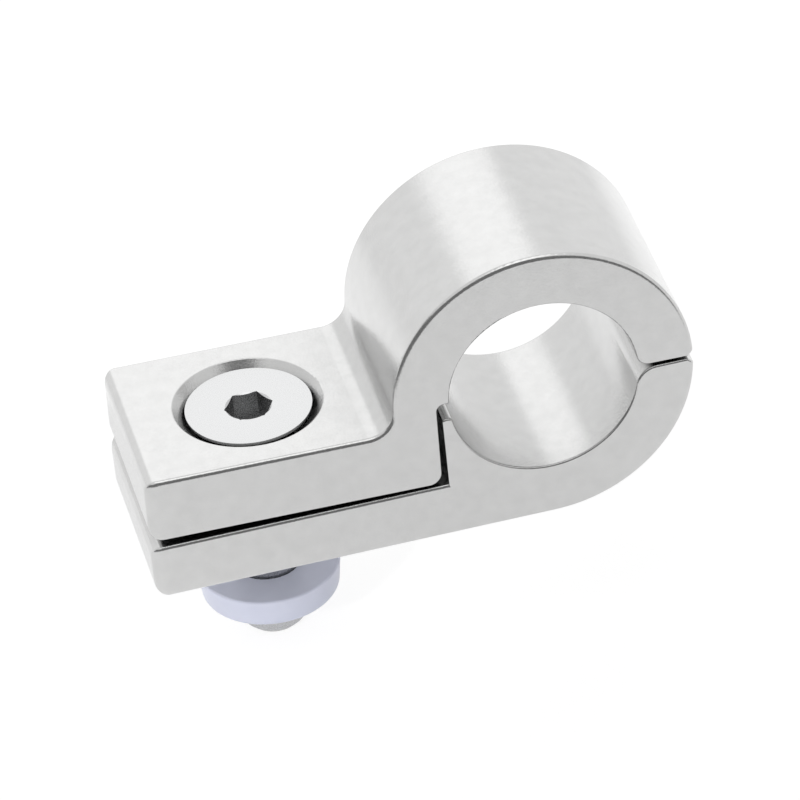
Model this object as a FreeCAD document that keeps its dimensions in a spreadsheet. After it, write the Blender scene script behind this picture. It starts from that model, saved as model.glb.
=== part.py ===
"""P clip: a split tube clamp in two cast jaws, closed by a countersunk screw into a slot nut.

The frame is millimetres with +Z up. The origin is where the screw's axis meets the foot's flat
underside. +X points from the screw to the tube, and the tube lies along Y. The upper jaw is drawn
about the tube's axis and stands slightly open, turned about that axis.
"""

import FreeCAD
import Part

import math
import os
import re

import Sketcher

# Driving dimensions, in millimetres and degrees
SIZES = {
    # The ring around the tube
    "bore_radius": 9.0,
    "ring_radius": 14.3,
    "clip_width": 19.4,
    # The two plates beside the ring
    "screw_to_bore": 26.0,
    "screw_to_end": 12.1,
    "foot_height": 5.6,
    "cover_height": 6.55,
    "cover_set_back": 0.25,
    "seam_gap": 0.1,
    "open_angle": 1.1,
    # The slot between the ring's tongue and the upper jaw
    "tongue_wall": 0.8,
    "tongue_drop": 1.3,
    "tongue_tip_radius": 0.32,
    "slot_gap": 0.4,
    "notch_rise": 0.2,
    "notch_radius": 0.75,
    # The lands where the half rings meet
    "land_gap": 0.55,
    "land_drop": 0.45,
    "land_chamfer": 0.55,
    "land_radius": 1.2,
    "land_round_radius": 2.0,
    # Rounded corners and edges
    "root_radius": 2.5,
    "end_corner_radius": 1.2,
    "slot_corner_radius": 1.25,
    "edge_radius": 0.4,
    "foot_edge_radius": 0.35,
    "seam_edge_radius": 0.2,
    # The screw and its seat
    "screw_radius": 3.0,
    "screw_length": 24.7,
    "tip_chamfer": 0.65,
    "head_radius": 5.95,
    "head_rim": 0.3,
    "head_depth": 0.4,
    "cone_angle": 90.0,
    "seat_clearance": 0.4,
    "seat_rim_radius": 0.15,
    "hole_clearance": 0.4,
    "hex_flats": 4.0,
    "hex_depth": 2.6,
    "hex_turn": 2.0,
    "hex_mouth_reach": 0.2,
    "hex_mouth_angle": 31.0,
    # The slot nut
    "nut_radius": 6.85,
    "nut_height": 3.0,
    "nut_draft": 7.0,
    "nut_drop": 5.5,
    "nut_edge_radius": 0.2,
    "nut_under_radius": 0.5,
    "thread_mouth": 0.15,
    "thread_clearance": 0.05,
}

MARGIN = 1.0    # how far a cut runs past the metal, so that it leaves no skin
CLOSE = 1e-4    # how near two places are to count as one
CORNER = 0.1    # the least sine between two faces that counts as a corner
SKEW = 0.2      # turns a sketch's starting points off its axes
HALF_CONE = "(cone_angle / 2 * 1 deg)"


def sized(formula):
    """Writes a formula of size names as an expression that reads the sheet."""
    names = "|".join(sorted(SIZES, key=len, reverse=True))
    return re.sub(rf"\b({names})\b", r"Sizes.\1", formula)


def size_sheet(doc):
    sheet = doc.addObject("Spreadsheet::Sheet", "Sizes")
    for row, (name, value) in enumerate(SIZES.items(), start=1):
        sheet.set(f"A{row}", name)
        sheet.set(f"B{row}", str(value))
        sheet.setAlias(f"B{row}", name)
    doc.recompute()
    return sheet


def new_body(doc, name):
    body = doc.addObject("PartDesign::Body", name)
    body.Label = name
    return body


def new_sketch(body, name, role):
    sketch = body.newObject("Sketcher::SketchObject", name)
    plane = next(item for item in body.Origin.OriginFeatures if item.Role == role)
    sketch.AttachmentSupport = [(plane, "")]
    sketch.MapMode = "FlatFace"
    return sketch


def hold_point(sketch, geometry, point, across, up):
    """Holds one point of the sketch at two formulas of sizes, counted from the sketch's origin."""
    spot = sketch.getPoint(geometry, point)
    for kind, now, formula in (("DistanceX", spot.x, across), ("DistanceY", spot.y, up)):
        index = sketch.addConstraint(Sketcher.Constraint(kind, -1, 1, geometry, point, now))
        sketch.setExpression(f"Constraints[{index}]", sized(formula))


def outline_sketch(body, name, role, corners):
    """A closed outline of straight lines through corners given as pairs of formulas."""
    sketch = new_sketch(body, name, role)
    count = len(corners)
    turns = [2 * math.pi * (i + SKEW) / count for i in range(count)]
    start = [FreeCAD.Vector(math.cos(turn), math.sin(turn), 0) for turn in turns]
    for i in range(count):
        sketch.addGeometry(Part.LineSegment(start[i], start[(i + 1) % count]), False)
    for i in range(count):
        sketch.addConstraint(Sketcher.Constraint("Coincident", i, 2, (i + 1) % count, 1))
    for i, (across, up) in enumerate(corners):
        hold_point(sketch, i, 1, across, up)
    return sketch


def box_sketch(body, name, role, left, right, low, high):
    return outline_sketch(body, name, role, [(left, low), (right, low), (right, high), (left, high)])


def circle_sketch(body, name, role, across, up, radius):
    sketch = new_sketch(body, name, role)
    centre = FreeCAD.Vector(1, 1, 0)
    sketch.addGeometry(Part.Circle(centre, FreeCAD.Vector(0, 0, 1), 1.0), False)
    index = sketch.addConstraint(Sketcher.Constraint("Radius", 0, 1.0))
    sketch.setExpression(f"Constraints[{index}]", sized(radius))
    hold_point(sketch, 0, 3, across, up)
    return sketch


def pad(body, name, sketch, length, reverse=False, middle=False):
    feature = body.newObject("PartDesign::Pad", name)
    feature.Profile = sketch
    feature.Midplane = middle
    feature.Reversed = reverse
    feature.setExpression("Length", sized(length))
    return feature


def cut_through(body, name, sketch):
    """Cuts the sketch's shape through the whole body, both ways."""
    feature = body.newObject("PartDesign::Pocket", name)
    feature.Profile = sketch
    feature.Type = "ThroughAll"
    feature.Midplane = True
    return feature


def near(a, b):
    return abs(a - b) < CLOSE


def middle_of(edge):
    return edge.valueAt((edge.FirstParameter + edge.LastParameter) / 2)


def edge_names(feature, wanted):
    return [f"Edge{i}" for i, edge in enumerate(feature.Shape.Edges, start=1) if wanted(edge)]


def sharp_on_face(feature, half_width):
    """Picks the edges of the two flat sides where the metal turns a corner."""
    def wanted(edge):
        spot = middle_of(edge)
        if not near(abs(spot.y), half_width) or edge.BoundBox.YLength > CLOSE:
            return False
        faces = feature.Shape.ancestorsOfType(edge, Part.Face)
        normals = [face.normalAt(*face.Surface.parameter(spot)) for face in faces]
        return len(normals) == 2 and normals[0].cross(normals[1]).Length > CORNER
    return wanted


def across_edge(x, z):
    """Picks the edges that run along the tube at one place of the outline."""
    def wanted(edge):
        ends = [vertex.Point for vertex in edge.Vertexes]
        return (len(ends) == 2 and abs(ends[0].y - ends[1].y) > MARGIN
                and all(near(end.x, x) and near(end.z, z) for end in ends))
    return wanted


def upright_edge(x, half_width):
    """Picks the upright edges at one end of a plate."""
    def wanted(edge):
        ends = [vertex.Point for vertex in edge.Vertexes]
        return len(ends) == 2 and all(near(end.x, x) and near(abs(end.y), half_width) for end in ends)
    return wanted


def round_edges(body, name, base, wanted, radius, kind="PartDesign::Fillet"):
    """Rounds or bevels the edges of a finished feature that the test picks."""
    names = edge_names(base, wanted)
    if not names:
        raise RuntimeError(f"{name}: no edge found")
    feature = body.newObject(kind, name)
    feature.Base = (base, names)
    feature.setExpression("Radius" if kind.endswith("Fillet") else "Size", sized(radius))
    body.Document.recompute()
    return feature


def lower_jaw(doc, size):
    """The foot plate, the lower half ring and the thin tongue that stands left of the bore."""
    body = new_body(doc, "lower_jaw")
    plane = "XZ_Plane"
    pad(body, "foot", box_sketch(body, "foot_outline", plane, "-screw_to_end", "screw_to_bore",
                                 "0", "foot_height"), "clip_width", middle=True)
    pad(body, "ring", circle_sketch(body, "ring_outline", plane, "screw_to_bore", "ring_radius",
                                    "ring_radius"), "clip_width", middle=True)
    top = f"2 * ring_radius + {MARGIN}"
    tongue_x = "screw_to_bore - bore_radius - tongue_wall"
    cut_through(body, "above_land", box_sketch(
        body, "above_land_outline", plane, "screw_to_bore", f"screw_to_bore + ring_radius + {MARGIN}",
        "ring_radius - land_drop", top))
    cut_through(body, "above_tongue", box_sketch(
        body, "above_tongue_outline", plane, f"screw_to_bore - ring_radius - {MARGIN}", "screw_to_bore",
        "ring_radius - tongue_drop", top))
    cut_through(body, "above_foot", box_sketch(
        body, "above_foot_outline", plane, f"screw_to_bore - ring_radius - {MARGIN}", tongue_x,
        "foot_height", "ring_radius"))
    cut_through(body, "bore", circle_sketch(
        body, "bore_outline", plane, "screw_to_bore", "ring_radius", "bore_radius"))
    hole = cut_through(body, "screw_hole", circle_sketch(
        body, "screw_hole_outline", "XY_Plane", "0", "0", "screw_radius + hole_clearance"))
    doc.recompute()

    centre = FreeCAD.Vector(size("screw_to_bore"), 0, size("ring_radius"))
    land_z = centre.z - size("land_drop")
    inner_x = centre.x + math.sqrt(size("bore_radius") ** 2 - size("land_drop") ** 2)
    outer_x = centre.x + math.sqrt(size("ring_radius") ** 2 - size("land_drop") ** 2)
    last = round_edges(body, "land_round", hole, across_edge(inner_x, land_z), "land_round_radius")
    last = round_edges(body, "land_bevel", last, across_edge(outer_x, land_z), "land_chamfer",
                       "PartDesign::Chamfer")
    tip_z = centre.z - size("tongue_drop")
    tip_x = centre.x - math.sqrt(size("bore_radius") ** 2 - size("tongue_drop") ** 2)
    wall_x = centre.x - size("bore_radius") - size("tongue_wall")

    def tip(edge):
        return across_edge(tip_x, tip_z)(edge) or across_edge(wall_x, tip_z)(edge)
    last = round_edges(body, "tongue_tip", last, tip, "tongue_tip_radius")

    half = size("clip_width") / 2
    last = round_edges(body, "end_corners", last, upright_edge(-size("screw_to_end"), half),
                       "end_corner_radius")

    def level_edge(z):
        def wanted(edge):
            spot = middle_of(edge)
            return near(spot.y, -half) and near(spot.z, z) and spot.x < wall_x
        return wanted
    last = round_edges(body, "outer_edges", last, level_edge(0), "edge_radius")
    last = round_edges(body, "foot_edges", last, level_edge(size("foot_height")), "foot_edge_radius")
    round_edges(body, "seam_edges", last, sharp_on_face(last, half), "seam_edge_radius")
    return body


def seat_sketch(body, size, over_z, over, under):
    """Half the section of the screw's way in: a conical seat with a rounded rim, and the hole below."""
    slope = math.radians(size("cone_angle")) / 2
    radius = size("seat_rim_radius")
    reach_x = radius * math.tan(math.pi / 4 - slope / 2)
    axis_x = -size("screw_to_bore")
    mouth_x = (axis_x + size("head_radius") + size("seat_clearance")
               + (size("head_rim") + size("head_depth")) * math.tan(slope))
    hole_x = axis_x + size("screw_radius") + size("hole_clearance")
    hole_z = over_z - (mouth_x - hole_x) / math.tan(slope)
    top_z = over_z + MARGIN
    low_z = size("foot_height") + size("seam_gap") - size("ring_radius") - MARGIN
    bend = FreeCAD.Vector(mouth_x - reach_x * math.sin(slope), over_z - reach_x * math.cos(slope), 0)
    corners = [(axis_x, low_z), (axis_x, top_z), (mouth_x + reach_x, top_z), (mouth_x + reach_x, over_z),
               (bend.x, bend.y), (hole_x, hole_z), (hole_x, low_z)]
    places = [FreeCAD.Vector(x, z, 0) for x, z in corners]
    lines = [Part.LineSegment(places[i], places[i + 1]) for i in (0, 1, 2, 4, 5)]
    lines.append(Part.LineSegment(places[6], places[0]))
    centre = FreeCAD.Vector(mouth_x + reach_x, over_z - radius, 0)
    circle = Part.Circle(centre, FreeCAD.Vector(0, 0, 1), radius)
    rounding = Part.ArcOfCircle(circle, math.pi / 2, math.pi - slope)

    sketch = new_sketch(body, "seat_outline", "XZ_Plane")
    for line in lines:
        sketch.addGeometry(line, False)
    arc = sketch.addGeometry(rounding, False)
    for first, second in ((0, 1), (1, 2), (3, 4), (4, 5), (5, 0)):
        sketch.addConstraint(Sketcher.Constraint("Coincident", first, 2, second, 1))
    sketch.addConstraint(Sketcher.Constraint("Coincident", 2, 2, arc, 1))
    sketch.addConstraint(Sketcher.Constraint("Coincident", arc, 2, 3, 1))

    reach = f"seat_rim_radius * tan(45 deg - {HALF_CONE} / 2)"
    mouth = f"(head_radius + seat_clearance + (head_rim + head_depth) * tan({HALF_CONE}) - screw_to_bore)"
    hole = "(screw_radius + hole_clearance - screw_to_bore)"
    hold_point(sketch, 0, 1, "-screw_to_bore", f"{under} - {MARGIN}")
    hold_point(sketch, 0, 2, "-screw_to_bore", f"{over} + {MARGIN}")
    hold_point(sketch, 1, 2, f"{mouth} + {reach}", f"{over} + {MARGIN}")
    hold_point(sketch, 2, 2, f"{mouth} + {reach}", over)
    hold_point(sketch, arc, 2, f"{mouth} - {reach} * sin({HALF_CONE})",
               f"{over} - {reach} * cos({HALF_CONE})")
    hold_point(sketch, 3, 2, hole, f"{over} - ({mouth} - {hole}) / tan({HALF_CONE})")
    hold_point(sketch, 4, 2, hole, f"{under} - {MARGIN}")
    index = sketch.addConstraint(Sketcher.Constraint("Radius", arc, radius))
    sketch.setExpression(f"Constraints[{index}]", sized("seat_rim_radius"))
    return sketch


def upper_jaw(doc, size):
    """The cover plate with the screw's seat, and the upper half ring, drawn about the bore's axis."""
    body = new_body(doc, "upper_jaw")
    plane = "XZ_Plane"
    end = "cover_set_back - screw_to_bore - screw_to_end"
    under = "foot_height + seam_gap - ring_radius"
    over = "foot_height + seam_gap + cover_height - ring_radius"
    wall = "-(bore_radius + tongue_wall + slot_gap)"
    pad(body, "cover", box_sketch(body, "cover_outline", plane, end, "0", under, over),
        "clip_width", middle=True)
    ring = pad(body, "ring_upper", circle_sketch(body, "ring_upper_outline", plane, "0", "0",
                                                 "ring_radius"), "clip_width", middle=True)
    doc.recompute()
    over_z = size("foot_height") + size("seam_gap") + size("cover_height") - size("ring_radius")
    root_x = -math.sqrt(size("ring_radius") ** 2 - over_z ** 2)
    round_edges(body, "root", ring, across_edge(root_x, over_z), "root_radius")
    cut_through(body, "below_land", box_sketch(
        body, "below_land_outline", plane, "0", f"ring_radius + {MARGIN}",
        f"-(ring_radius + {MARGIN})", "land_gap - land_drop"))
    cut_through(body, "notch", box_sketch(
        body, "notch_outline", plane, wall, "0", f"-(ring_radius + {MARGIN})", "notch_rise"))
    cut_through(body, "below_cover", box_sketch(
        body, "below_cover_outline", plane, f"-(ring_radius + {MARGIN})", "0",
        f"-(ring_radius + {MARGIN})", under))
    last = cut_through(body, "bore_upper", circle_sketch(
        body, "bore_upper_outline", plane, "0", "0", "bore_radius"))
    doc.recompute()

    wall_x = -(size("bore_radius") + size("tongue_wall") + size("slot_gap"))
    under_z = size("foot_height") + size("seam_gap") - size("ring_radius")
    last = round_edges(body, "notch_round", last, across_edge(wall_x, size("notch_rise")), "notch_radius")
    last = round_edges(body, "slot_corner", last, across_edge(wall_x, under_z), "slot_corner_radius")
    land_z = size("land_gap") - size("land_drop")
    inner_x = math.sqrt(size("bore_radius") ** 2 - land_z ** 2)
    outer_x = math.sqrt(size("ring_radius") ** 2 - land_z ** 2)
    last = round_edges(body, "land_round_upper", last, across_edge(inner_x, land_z), "land_radius")
    last = round_edges(body, "land_bevel_upper", last, across_edge(outer_x, land_z), "land_chamfer",
                       "PartDesign::Chamfer")

    half = size("clip_width") / 2
    end_x = size("cover_set_back") - size("screw_to_bore") - size("screw_to_end")
    last = round_edges(body, "end_corners_upper", last, upright_edge(end_x, half), "end_corner_radius")
    seat = seat_sketch(body, size, over_z, over, under)
    groove = body.newObject("PartDesign::Groove", "seat")
    groove.Profile = seat
    groove.ReferenceAxis = (seat, ["Edge1"])
    groove.Angle = 360
    last = groove
    doc.recompute()

    def outer(edge):
        spot = middle_of(edge)
        return near(spot.y, -half) and near(spot.z, over_z)
    last = round_edges(body, "outer_edges_upper", last, outer, "edge_radius")
    round_edges(body, "seam_edges_upper", last, sharp_on_face(last, half), "seam_edge_radius")

    body.Placement = FreeCAD.Placement(
        FreeCAD.Vector(0, 0, 0), FreeCAD.Rotation(FreeCAD.Vector(0, 1, 0), size("open_angle")))
    body.setExpression("Placement.Base.x", sized("screw_to_bore"))
    body.setExpression("Placement.Base.z", sized("ring_radius"))
    body.setExpression("Placement.Rotation.Angle", sized("open_angle"))
    return body


def clamp_screw(doc, size):
    """The countersunk screw, drawn down from the middle of its flat head."""
    body = new_body(doc, "clamp_screw")
    profile = outline_sketch(body, "screw_profile", "XZ_Plane", [
        ("0", "0"),
        ("head_radius", "0"),
        ("head_radius", "-head_rim"),
        ("screw_radius", f"-(head_rim + (head_radius - screw_radius) / tan({HALF_CONE}))"),
        ("screw_radius", "tip_chamfer - screw_length"),
        ("screw_radius - tip_chamfer", "-screw_length"),
        ("0", "-screw_length"),
    ])
    turned = body.newObject("PartDesign::Revolution", "turned")
    turned.Profile = profile
    turned.ReferenceAxis = (profile, ["V_Axis"])
    turned.Angle = 360
    doc.recompute()

    socket = body.newObject("PartDesign::SubtractivePrism", "hex_socket")
    socket.Polygon = 6
    socket.setExpression("Circumradius", sized("hex_flats / 2 / cos(30 deg)"))
    socket.setExpression("Height", sized("hex_depth"))
    plane = next(item for item in body.Origin.OriginFeatures if item.Role == "XY_Plane")
    socket.AttachmentSupport = [(plane, "")]
    socket.MapMode = "FlatFace"
    socket.AttachmentOffset = FreeCAD.Placement(
        FreeCAD.Vector(0, 0, 0), FreeCAD.Rotation(FreeCAD.Vector(0, 0, -1), size("hex_turn")))
    socket.setExpression("AttachmentOffset.Base.z", sized("-hex_depth"))
    socket.setExpression("AttachmentOffset.Rotation.Angle", sized("hex_turn"))
    mouth = outline_sketch(body, "mouth_profile", "XZ_Plane", [
        ("0", "0"),
        ("hex_flats / 2 + hex_mouth_reach", "0"),
        ("0", "-(hex_flats / 2 + hex_mouth_reach) * tan(hex_mouth_angle * 1 deg)"),
    ])
    bevel = body.newObject("PartDesign::Groove", "hex_mouth_bevel")
    bevel.Profile = mouth
    bevel.ReferenceAxis = (mouth, ["V_Axis"])
    bevel.Angle = 360
    doc.recompute()
    top = ("ring_radius + (foot_height + seam_gap + cover_height - ring_radius) * cos(open_angle * 1 deg)"
           " + screw_to_bore * sin(open_angle * 1 deg) - head_depth")
    body.setExpression("Placement.Base.z", sized(top))
    return body


def rim(radius, z):
    """Picks the round edges of one radius at one height."""
    def wanted(edge):
        return (isinstance(edge.Curve, Part.Circle) and near(edge.Curve.Radius, radius)
                and near(middle_of(edge).z, z))
    return wanted


def slot_nut(doc, size):
    """The round nut plate that runs under a slot's lips, a little narrower at its underside."""
    body = new_body(doc, "slot_nut")
    plane = "XY_Plane"
    plate = pad(body, "plate", circle_sketch(body, "plate_outline", plane, "0", "0", "nut_radius"),
                "nut_height", reverse=True)
    plate.setExpression("TaperAngle", sized("-nut_draft * 1 deg"))
    last = cut_through(body, "thread", circle_sketch(
        body, "thread_outline", plane, "0", "0", "screw_radius + thread_clearance"))
    doc.recompute()
    outer = size("nut_radius")
    inner = size("screw_radius") + size("thread_clearance")
    under = outer - size("nut_height") * math.tan(math.radians(size("nut_draft")))
    under_z = -size("nut_height")
    last = round_edges(body, "over_edge", last, rim(outer, 0), "nut_edge_radius")
    last = round_edges(body, "under_edge", last, rim(under, under_z), "nut_under_radius")
    last = round_edges(body, "mouth_over", last, rim(inner, 0), "thread_mouth", "PartDesign::Chamfer")
    round_edges(body, "mouth_under", last, rim(inner, under_z), "thread_mouth", "PartDesign::Chamfer")
    body.setExpression("Placement.Base.z", sized("-nut_drop"))
    return body


def check(doc, bodies):
    for item in doc.Objects:
        if {"Invalid", "Error"} & set(item.State):
            raise RuntimeError(f"{item.Name} failed: {item.State}")
    for body in bodies:
        if body.Shape.isNull() or not body.Shape.isValid() or len(body.Shape.Solids) != 1:
            raise RuntimeError(f"{body.Label} is not one sound solid")


def main():
    doc = FreeCAD.newDocument("p_clip")
    sheet = size_sheet(doc)
    size = sheet.get
    bodies = [make(doc, size) for make in (lower_jaw, upper_jaw, clamp_screw, slot_nut)]
    doc.recompute()
    check(doc, bodies)
    os.makedirs("parts", exist_ok=True)
    for body in bodies:
        body.Shape.exportStep(os.path.join("parts", f"{body.Label}.step"))
        box = body.Shape.BoundBox
        print(f"{body.Label}: {body.Shape.Volume:.1f} mm3, x {box.XMin:.2f} to {box.XMax:.2f}, "
              f"y {box.YMin:.2f} to {box.YMax:.2f}, z {box.ZMin:.2f} to {box.ZMax:.2f}")


main()
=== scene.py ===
"""P clip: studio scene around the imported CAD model. Metres, +Z up, +X from the screw to the tube."""

import math

import bpy
from mathutils import Matrix, Vector


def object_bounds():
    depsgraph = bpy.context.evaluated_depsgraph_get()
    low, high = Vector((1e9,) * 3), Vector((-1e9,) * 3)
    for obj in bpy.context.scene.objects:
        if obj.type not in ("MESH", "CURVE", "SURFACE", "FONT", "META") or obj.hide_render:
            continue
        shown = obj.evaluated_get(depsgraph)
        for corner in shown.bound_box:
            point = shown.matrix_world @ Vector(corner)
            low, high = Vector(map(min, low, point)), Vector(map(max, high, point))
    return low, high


MM = 0.001

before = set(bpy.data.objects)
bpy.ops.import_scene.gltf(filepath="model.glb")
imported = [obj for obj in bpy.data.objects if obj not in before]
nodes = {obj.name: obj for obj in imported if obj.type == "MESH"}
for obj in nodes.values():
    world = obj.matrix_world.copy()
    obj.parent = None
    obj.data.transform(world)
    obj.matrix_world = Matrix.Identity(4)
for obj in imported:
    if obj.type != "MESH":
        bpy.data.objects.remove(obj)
cad_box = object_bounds()


# Materials

def new_material(name):
    """A material with its node tree, its principled shader and a helper that adds nodes."""
    material = bpy.data.materials.new(name)
    material.use_nodes = True
    tree = material.node_tree
    shader = tree.nodes["Principled BSDF"]
    return material, tree, shader


def add_node(tree, kind, **values):
    node = tree.nodes.new(kind)
    for key, value in values.items():
        if hasattr(node, key):
            setattr(node, key, value)
        else:
            node.inputs[key].default_value = value
    return node


def object_coords(tree):
    return tree.nodes.new("ShaderNodeTexCoord").outputs["Object"]


def noise(tree, coords, scale, detail=2.0, rough=0.5):
    node = add_node(tree, "ShaderNodeTexNoise")
    node.inputs["Scale"].default_value = scale
    node.inputs["Detail"].default_value = detail
    node.inputs["Roughness"].default_value = rough
    tree.links.new(coords, node.inputs["Vector"])
    return node.outputs["Fac"]


def ramp(tree, value, stops):
    node = tree.nodes.new("ShaderNodeValToRGB")
    elements = node.color_ramp.elements
    while len(elements) < len(stops):
        elements.new(0.5)
    for element, (place, colour) in zip(elements, stops):
        element.position = place
        element.color = (*colour, 1.0)
    tree.links.new(value, node.inputs["Fac"])
    return node.outputs["Color"]


def span(tree, value, low, high):
    """Maps 0..1 to low..high."""
    node = tree.nodes.new("ShaderNodeMapRange")
    node.inputs["To Min"].default_value = low
    node.inputs["To Max"].default_value = high
    tree.links.new(value, node.inputs["Value"])
    return node.outputs["Result"]


def bump(tree, shader, layers):
    """Chains bump nodes: layers of (height, strength, distance in metres)."""
    last = None
    for height, strength, distance in layers:
        node = tree.nodes.new("ShaderNodeBump")
        node.inputs["Strength"].default_value = strength
        node.inputs["Distance"].default_value = distance
        tree.links.new(height, node.inputs["Height"])
        if last is not None:
            tree.links.new(last, node.inputs["Normal"])
        last = node.outputs["Normal"]
    tree.links.new(last, shader.inputs["Normal"])


def base_with_painted_shade(tree, shader, colour, reach, darkest_painted_shade):
    """Base colour darkened in corners and recesses by ambient occlusion: painted shade that stands in
    for the darker reflections there.
    """
    painted_shade_ao = add_node(tree, "ShaderNodeAmbientOcclusion", samples=8)
    painted_shade_ao.inputs["Distance"].default_value = reach
    tone = span(tree, painted_shade_ao.outputs["AO"], darkest_painted_shade, 1.0)
    mix = add_node(tree, "ShaderNodeVectorMath", operation="SCALE")
    tree.links.new(colour, mix.inputs[0])
    tree.links.new(tone, mix.inputs["Scale"])
    tree.links.new(mix.outputs[0], shader.inputs["Base Color"])


def jaw_metal():
    """Satin nickel on a zinc casting: pale grey, with a fine grain."""
    material, tree, shader = new_material("jaw_metal")
    shader.inputs["Metallic"].default_value = 1.0
    coords = object_coords(tree)
    grain = noise(tree, coords, 4500, 3.0, 0.6)
    cloud = noise(tree, coords, 700, 2.0, 0.5)
    swell = noise(tree, coords, 160, 1.0, 0.5)
    colour = ramp(tree, cloud, [(0.3, (0.56, 0.56, 0.557)), (0.7, (0.59, 0.59, 0.587))])
    # Painted shade: the base colour darkens by ambient occlusion in corners and recesses.
    base_with_painted_shade(tree, shader, colour, reach=0.008, darkest_painted_shade=0.68)
    tree.links.new(span(tree, grain, 0.16, 0.30), shader.inputs["Roughness"])
    bump(tree, shader, [(swell, 0.10, 0.0002), (cloud, 0.08, 0.00006), (grain, 0.45, 0.00003)])
    return material


def screw_metal():
    """Bright plated steel, turned."""
    material, tree, shader = new_material("screw_metal")
    shader.inputs["Metallic"].default_value = 1.0
    coords = object_coords(tree)
    grain = noise(tree, coords, 6000, 2.0, 0.5)
    colour = ramp(tree, grain, [(0.3, (0.56, 0.563, 0.566)), (0.7, (0.60, 0.603, 0.606))])
    # Painted shade: the base colour darkens by ambient occlusion in corners and recesses.
    base_with_painted_shade(tree, shader, colour, reach=0.004, darkest_painted_shade=0.65)
    tree.links.new(span(tree, grain, 0.22, 0.34), shader.inputs["Roughness"])
    bump(tree, shader, [(grain, 0.12, 0.00002)])
    return material


def nut_metal():
    """Bluish zinc plating with a fine grain."""
    material, tree, shader = new_material("nut_metal")
    shader.inputs["Metallic"].default_value = 0.15
    coords = object_coords(tree)
    grain = noise(tree, coords, 4200, 3.0, 0.6)
    cloud = noise(tree, coords, 500, 2.0, 0.5)
    tree.links.new(ramp(tree, cloud, [(0.3, (0.70, 0.725, 0.86)), (0.7, (0.73, 0.755, 0.89))]),
                   shader.inputs["Base Color"])
    tree.links.new(span(tree, grain, 0.28, 0.42), shader.inputs["Roughness"])
    bump(tree, shader, [(cloud, 0.15, 0.00008), (grain, 0.3, 0.00003)])
    return material


metals = {"jaw_metal": jaw_metal(), "screw_metal": screw_metal(), "nut_metal": nut_metal()}
for name, slot in (("lower_jaw", "jaw_metal"), ("upper_jaw", "jaw_metal"),
                   ("clamp_screw", "screw_metal"), ("slot_nut", "nut_metal")):
    piece = nodes[name]
    piece.data.materials.clear()
    piece.data.materials.append(metals[slot])


# Studio

def ray_switch(tree, seen, unseen):
    """Mixes two shaders: seen by camera, glossy and transmission rays, the other by the rest."""
    path = tree.nodes.new("ShaderNodeLightPath")
    first = add_node(tree, "ShaderNodeMath", operation="MAXIMUM")
    tree.links.new(path.outputs["Is Camera Ray"], first.inputs[0])
    tree.links.new(path.outputs["Is Glossy Ray"], first.inputs[1])
    second = add_node(tree, "ShaderNodeMath", operation="MAXIMUM")
    tree.links.new(first.outputs[0], second.inputs[0])
    tree.links.new(path.outputs["Is Transmission Ray"], second.inputs[1])
    mix = tree.nodes.new("ShaderNodeMixShader")
    tree.links.new(second.outputs[0], mix.inputs[0])
    tree.links.new(unseen, mix.inputs[1])
    tree.links.new(seen, mix.inputs[2])
    return mix.outputs[0]


def white_world():
    world = bpy.data.worlds.new("studio")
    bpy.context.scene.world = world
    world.use_nodes = True
    tree = world.node_tree
    tree.nodes.clear()
    seen = add_node(tree, "ShaderNodeBackground", Color=(1.0, 1.0, 1.0, 1.0), Strength=1.0)
    unseen = add_node(tree, "ShaderNodeBackground", Color=(1.0, 1.0, 1.0, 1.0), Strength=0.6)
    out = tree.nodes.new("ShaderNodeOutputWorld")
    tree.links.new(ray_switch(tree, seen.outputs[0], unseen.outputs[0]), out.inputs["Surface"])


def lit_paper(tree, matt_tone, glow_tone):
    """Paper that gives back some of the light, and its shadows, over a glow of its own."""
    matt = add_node(tree, "ShaderNodeBsdfDiffuse", Color=(matt_tone, matt_tone, matt_tone, 1.0))
    glow = add_node(tree, "ShaderNodeEmission", Color=(1.0, 1.0, 1.0, 1.0), Strength=glow_tone)
    both = tree.nodes.new("ShaderNodeAddShader")
    tree.links.new(matt.outputs[0], both.inputs[0])
    tree.links.new(glow.outputs[0], both.inputs[1])
    return both.outputs[0]


def floor_material():
    """Pale matt paper that reads white, and still takes the object's shadow, more so in the metal."""
    material = bpy.data.materials.new("floor_paper")
    material.use_nodes = True
    tree = material.node_tree
    tree.nodes.clear()
    path = tree.nodes.new("ShaderNodeLightPath")
    shown = tree.nodes.new("ShaderNodeMixShader")
    tree.links.new(path.outputs["Is Camera Ray"], shown.inputs[0])
    tree.links.new(lit_paper(tree, 0.95, 0.42), shown.inputs[1])
    tree.links.new(lit_paper(tree, 0.25, 0.85), shown.inputs[2])
    plain = add_node(tree, "ShaderNodeBsdfDiffuse", Color=(0.80, 0.80, 0.80, 1.0))
    out = tree.nodes.new("ShaderNodeOutputMaterial")
    tree.links.new(ray_switch(tree, shown.outputs[0], plain.outputs[0]), out.inputs["Surface"])
    return material


def flat_panel(name, centre, facing, width, height, material):
    """An upright or lying rectangle centred at a point and facing along a direction."""
    normal = Vector(facing).normalized()
    turn = normal.to_track_quat("Z", "Y").to_matrix().to_4x4()
    mesh = bpy.data.meshes.new(name)
    x, y = width / 2, height / 2
    mesh.from_pydata([(-x, -y, 0), (x, -y, 0), (x, y, 0), (-x, y, 0)], [], [(0, 1, 2, 3)])
    panel = bpy.data.objects.new(name, mesh)
    panel.matrix_world = Matrix.Translation(Vector(centre)) @ turn
    mesh.materials.append(material)
    bpy.context.scene.collection.objects.link(panel)


def aimed(centre, target):
    """The place and turn of a lamp at a centre that shines towards a target."""
    away = Vector(centre) - Vector(target)
    return Matrix.Translation(Vector(centre)) @ away.to_track_quat("Z", "Y").to_matrix().to_4x4()


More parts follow.
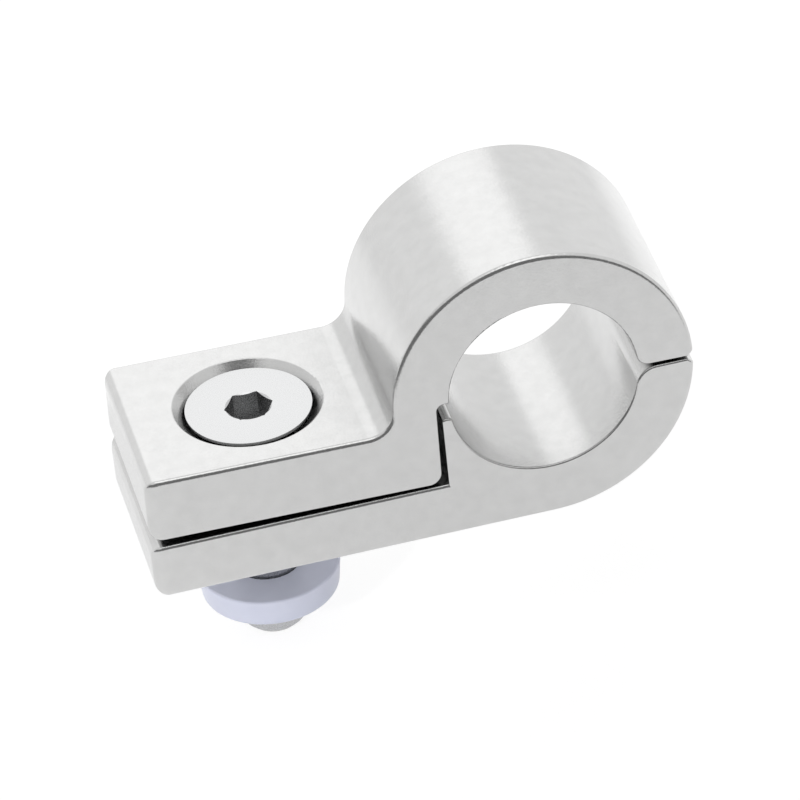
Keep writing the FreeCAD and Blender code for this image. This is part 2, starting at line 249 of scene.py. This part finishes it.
def softbox(name, centre, target, width, height, glow):
    """A soft lamp that the camera doesn't see. Its face has the given brightness, where 1 is white."""
    lamp = bpy.data.lights.new(name, "AREA")
    lamp.shape = "RECTANGLE"
    lamp.size = width
    lamp.size_y = height
    lamp.energy = glow * math.pi * width * height
    item = bpy.data.objects.new(name, lamp)
    item.matrix_world = aimed(centre, target)
    item.visible_camera = False
    bpy.context.scene.collection.objects.link(item)


def snoot(name, centre, target, spread, power):
    """A narrow soft-edged lamp that lights matt surfaces only, and isn't mirrored in the metal."""
    lamp = bpy.data.lights.new(name, "SPOT")
    lamp.spot_size = math.radians(spread)
    lamp.spot_blend = 0.5
    lamp.shadow_soft_size = 0.02
    lamp.energy = power
    item = bpy.data.objects.new(name, lamp)
    item.matrix_world = aimed(centre, target)
    item.visible_camera = False
    item.visible_glossy = False
    bpy.context.scene.collection.objects.link(item)


def dark_screen(name, near, distance, turns, heights, tone):
    """A dark screen bent round the object, with a dark foot on the floor, that only shows in the metal.

    The turns are in degrees from straight in front to the right, and the heights, one to each turn,
    are in degrees as the object sees them. The foot starts near the object.
    """
    material = bpy.data.materials.new(name)
    material.use_nodes = True
    tree = material.node_tree
    tree.nodes.clear()
    glow = add_node(tree, "ShaderNodeEmission", Color=(tone, tone, tone, 1.0), Strength=1.0)
    out = tree.nodes.new("ShaderNodeOutputMaterial")
    tree.links.new(glow.outputs[0], out.inputs["Surface"])
    points, faces = [], []
    for turn, height in zip(turns, heights):
        angle, rise = math.radians(turn), math.radians(height)
        side = Vector((math.sin(angle), -math.cos(angle), 0.0))
        for reach in (near, distance):
            low = middle + side * reach
            points.append((low.x, low.y, floor_z + FLOOR_LIFT))
        over = middle + side * distance * math.cos(rise)
        points.append((over.x, over.y, middle.z + distance * math.sin(rise)))
    for i in range(0, len(points) - 3, 3):
        faces.append((i, i + 3, i + 4, i + 1))
        faces.append((i + 1, i + 4, i + 5, i + 2))
    mesh = bpy.data.meshes.new(name)
    mesh.from_pydata(points, [], faces)
    mesh.materials.append(material)
    item = bpy.data.objects.new(name, mesh)
    bpy.context.scene.collection.objects.link(item)
    item.visible_camera = False
    item.visible_diffuse = False
    item.visible_shadow = False


FLOOR_SIDE = 6.0
FLOOR_LIFT = 0.0005

white_world()
floor_z = cad_box[0].z
middle = Vector((0.014, 0.0, 0.010))
flat_panel("floor", (middle.x, middle.y, floor_z), (0, 0, 1), FLOOR_SIDE, FLOOR_SIDE, floor_material())


def toward(x, y, z, distance):
    return middle + distance * Vector((x, y, z)).normalized()


softbox("back_wide", toward(0.0, 0.80, 0.35, 0.8), middle, width=1.5, height=0.8, glow=0.14)
softbox("back_top", toward(-0.07, 0.80, 0.60, 0.7), middle, width=0.40, height=0.24, glow=0.47)
softbox("overhead", toward(0.0, -0.12, 1.0, 0.7), middle, width=0.40, height=0.40, glow=0.8)

# Faces down onto the floor behind the ring
glow_place = Vector((0.04, 0.11, floor_z + FLOOR_LIFT))
softbox("table_glow", glow_place, glow_place - Vector((0, 0, 1)), width=0.40, height=0.14, glow=0.18)

# Low from front left, so that it reaches the nut's face under the foot
nut_middle = Vector((0.0, -0.004, -0.0065))
nut_light_way = Vector((-0.631, -0.631, 0.451))
snoot("nut_light", nut_middle + 0.35 * nut_light_way, nut_middle, spread=4.0, power=5.6)

SCREEN_TURNS = (-100, -70, -45, -25, 0, 25, 45, 60)
SCREEN_HEIGHTS = (28, 30, 40, 62, 66, 58, 20, 12)
dark_screen("front_screen", 0.10, 0.6, SCREEN_TURNS, SCREEN_HEIGHTS, tone=0.22)


# Camera, fitted to the photograph's edges

AZIMUTH, ELEVATION, ROLL = 10.11, 35.57, 6.41
DISTANCE = 0.636
PIXELS_PER_MM = 10.891
SIDE = 800
SHIFT_RIGHT, SHIFT_UP = 13.237 * MM, 1.236 * MM
AIM = Vector((26.0, -9.7, 14.3)) * MM
SENSOR = 36.0


def place_camera():
    az, el, roll = (math.radians(angle) for angle in (AZIMUTH, ELEVATION, ROLL))
    forward = Vector((math.sin(az) * math.cos(el), math.cos(az) * math.cos(el), -math.sin(el)))
    level = Vector((math.cos(az), -math.sin(az), 0.0))
    over = level.cross(forward)
    right = math.cos(roll) * level - math.sin(roll) * over
    up = math.sin(roll) * level + math.cos(roll) * over
    place = AIM - DISTANCE * forward - SHIFT_RIGHT * right - SHIFT_UP * up
    camera = bpy.data.objects.new("camera", bpy.data.cameras.new("camera"))
    camera.data.sensor_width = SENSOR
    camera.data.lens = SENSOR * PIXELS_PER_MM * DISTANCE / MM / SIDE
    camera.data.clip_start, camera.data.clip_end = 0.01, 20.0
    turn = Matrix((right, up, -forward)).transposed().to_4x4()
    camera.matrix_world = Matrix.Translation(place) @ turn
    bpy.context.scene.collection.objects.link(camera)
    bpy.context.scene.camera = camera


place_camera()
bpy.context.scene.view_settings.view_transform = "Standard"
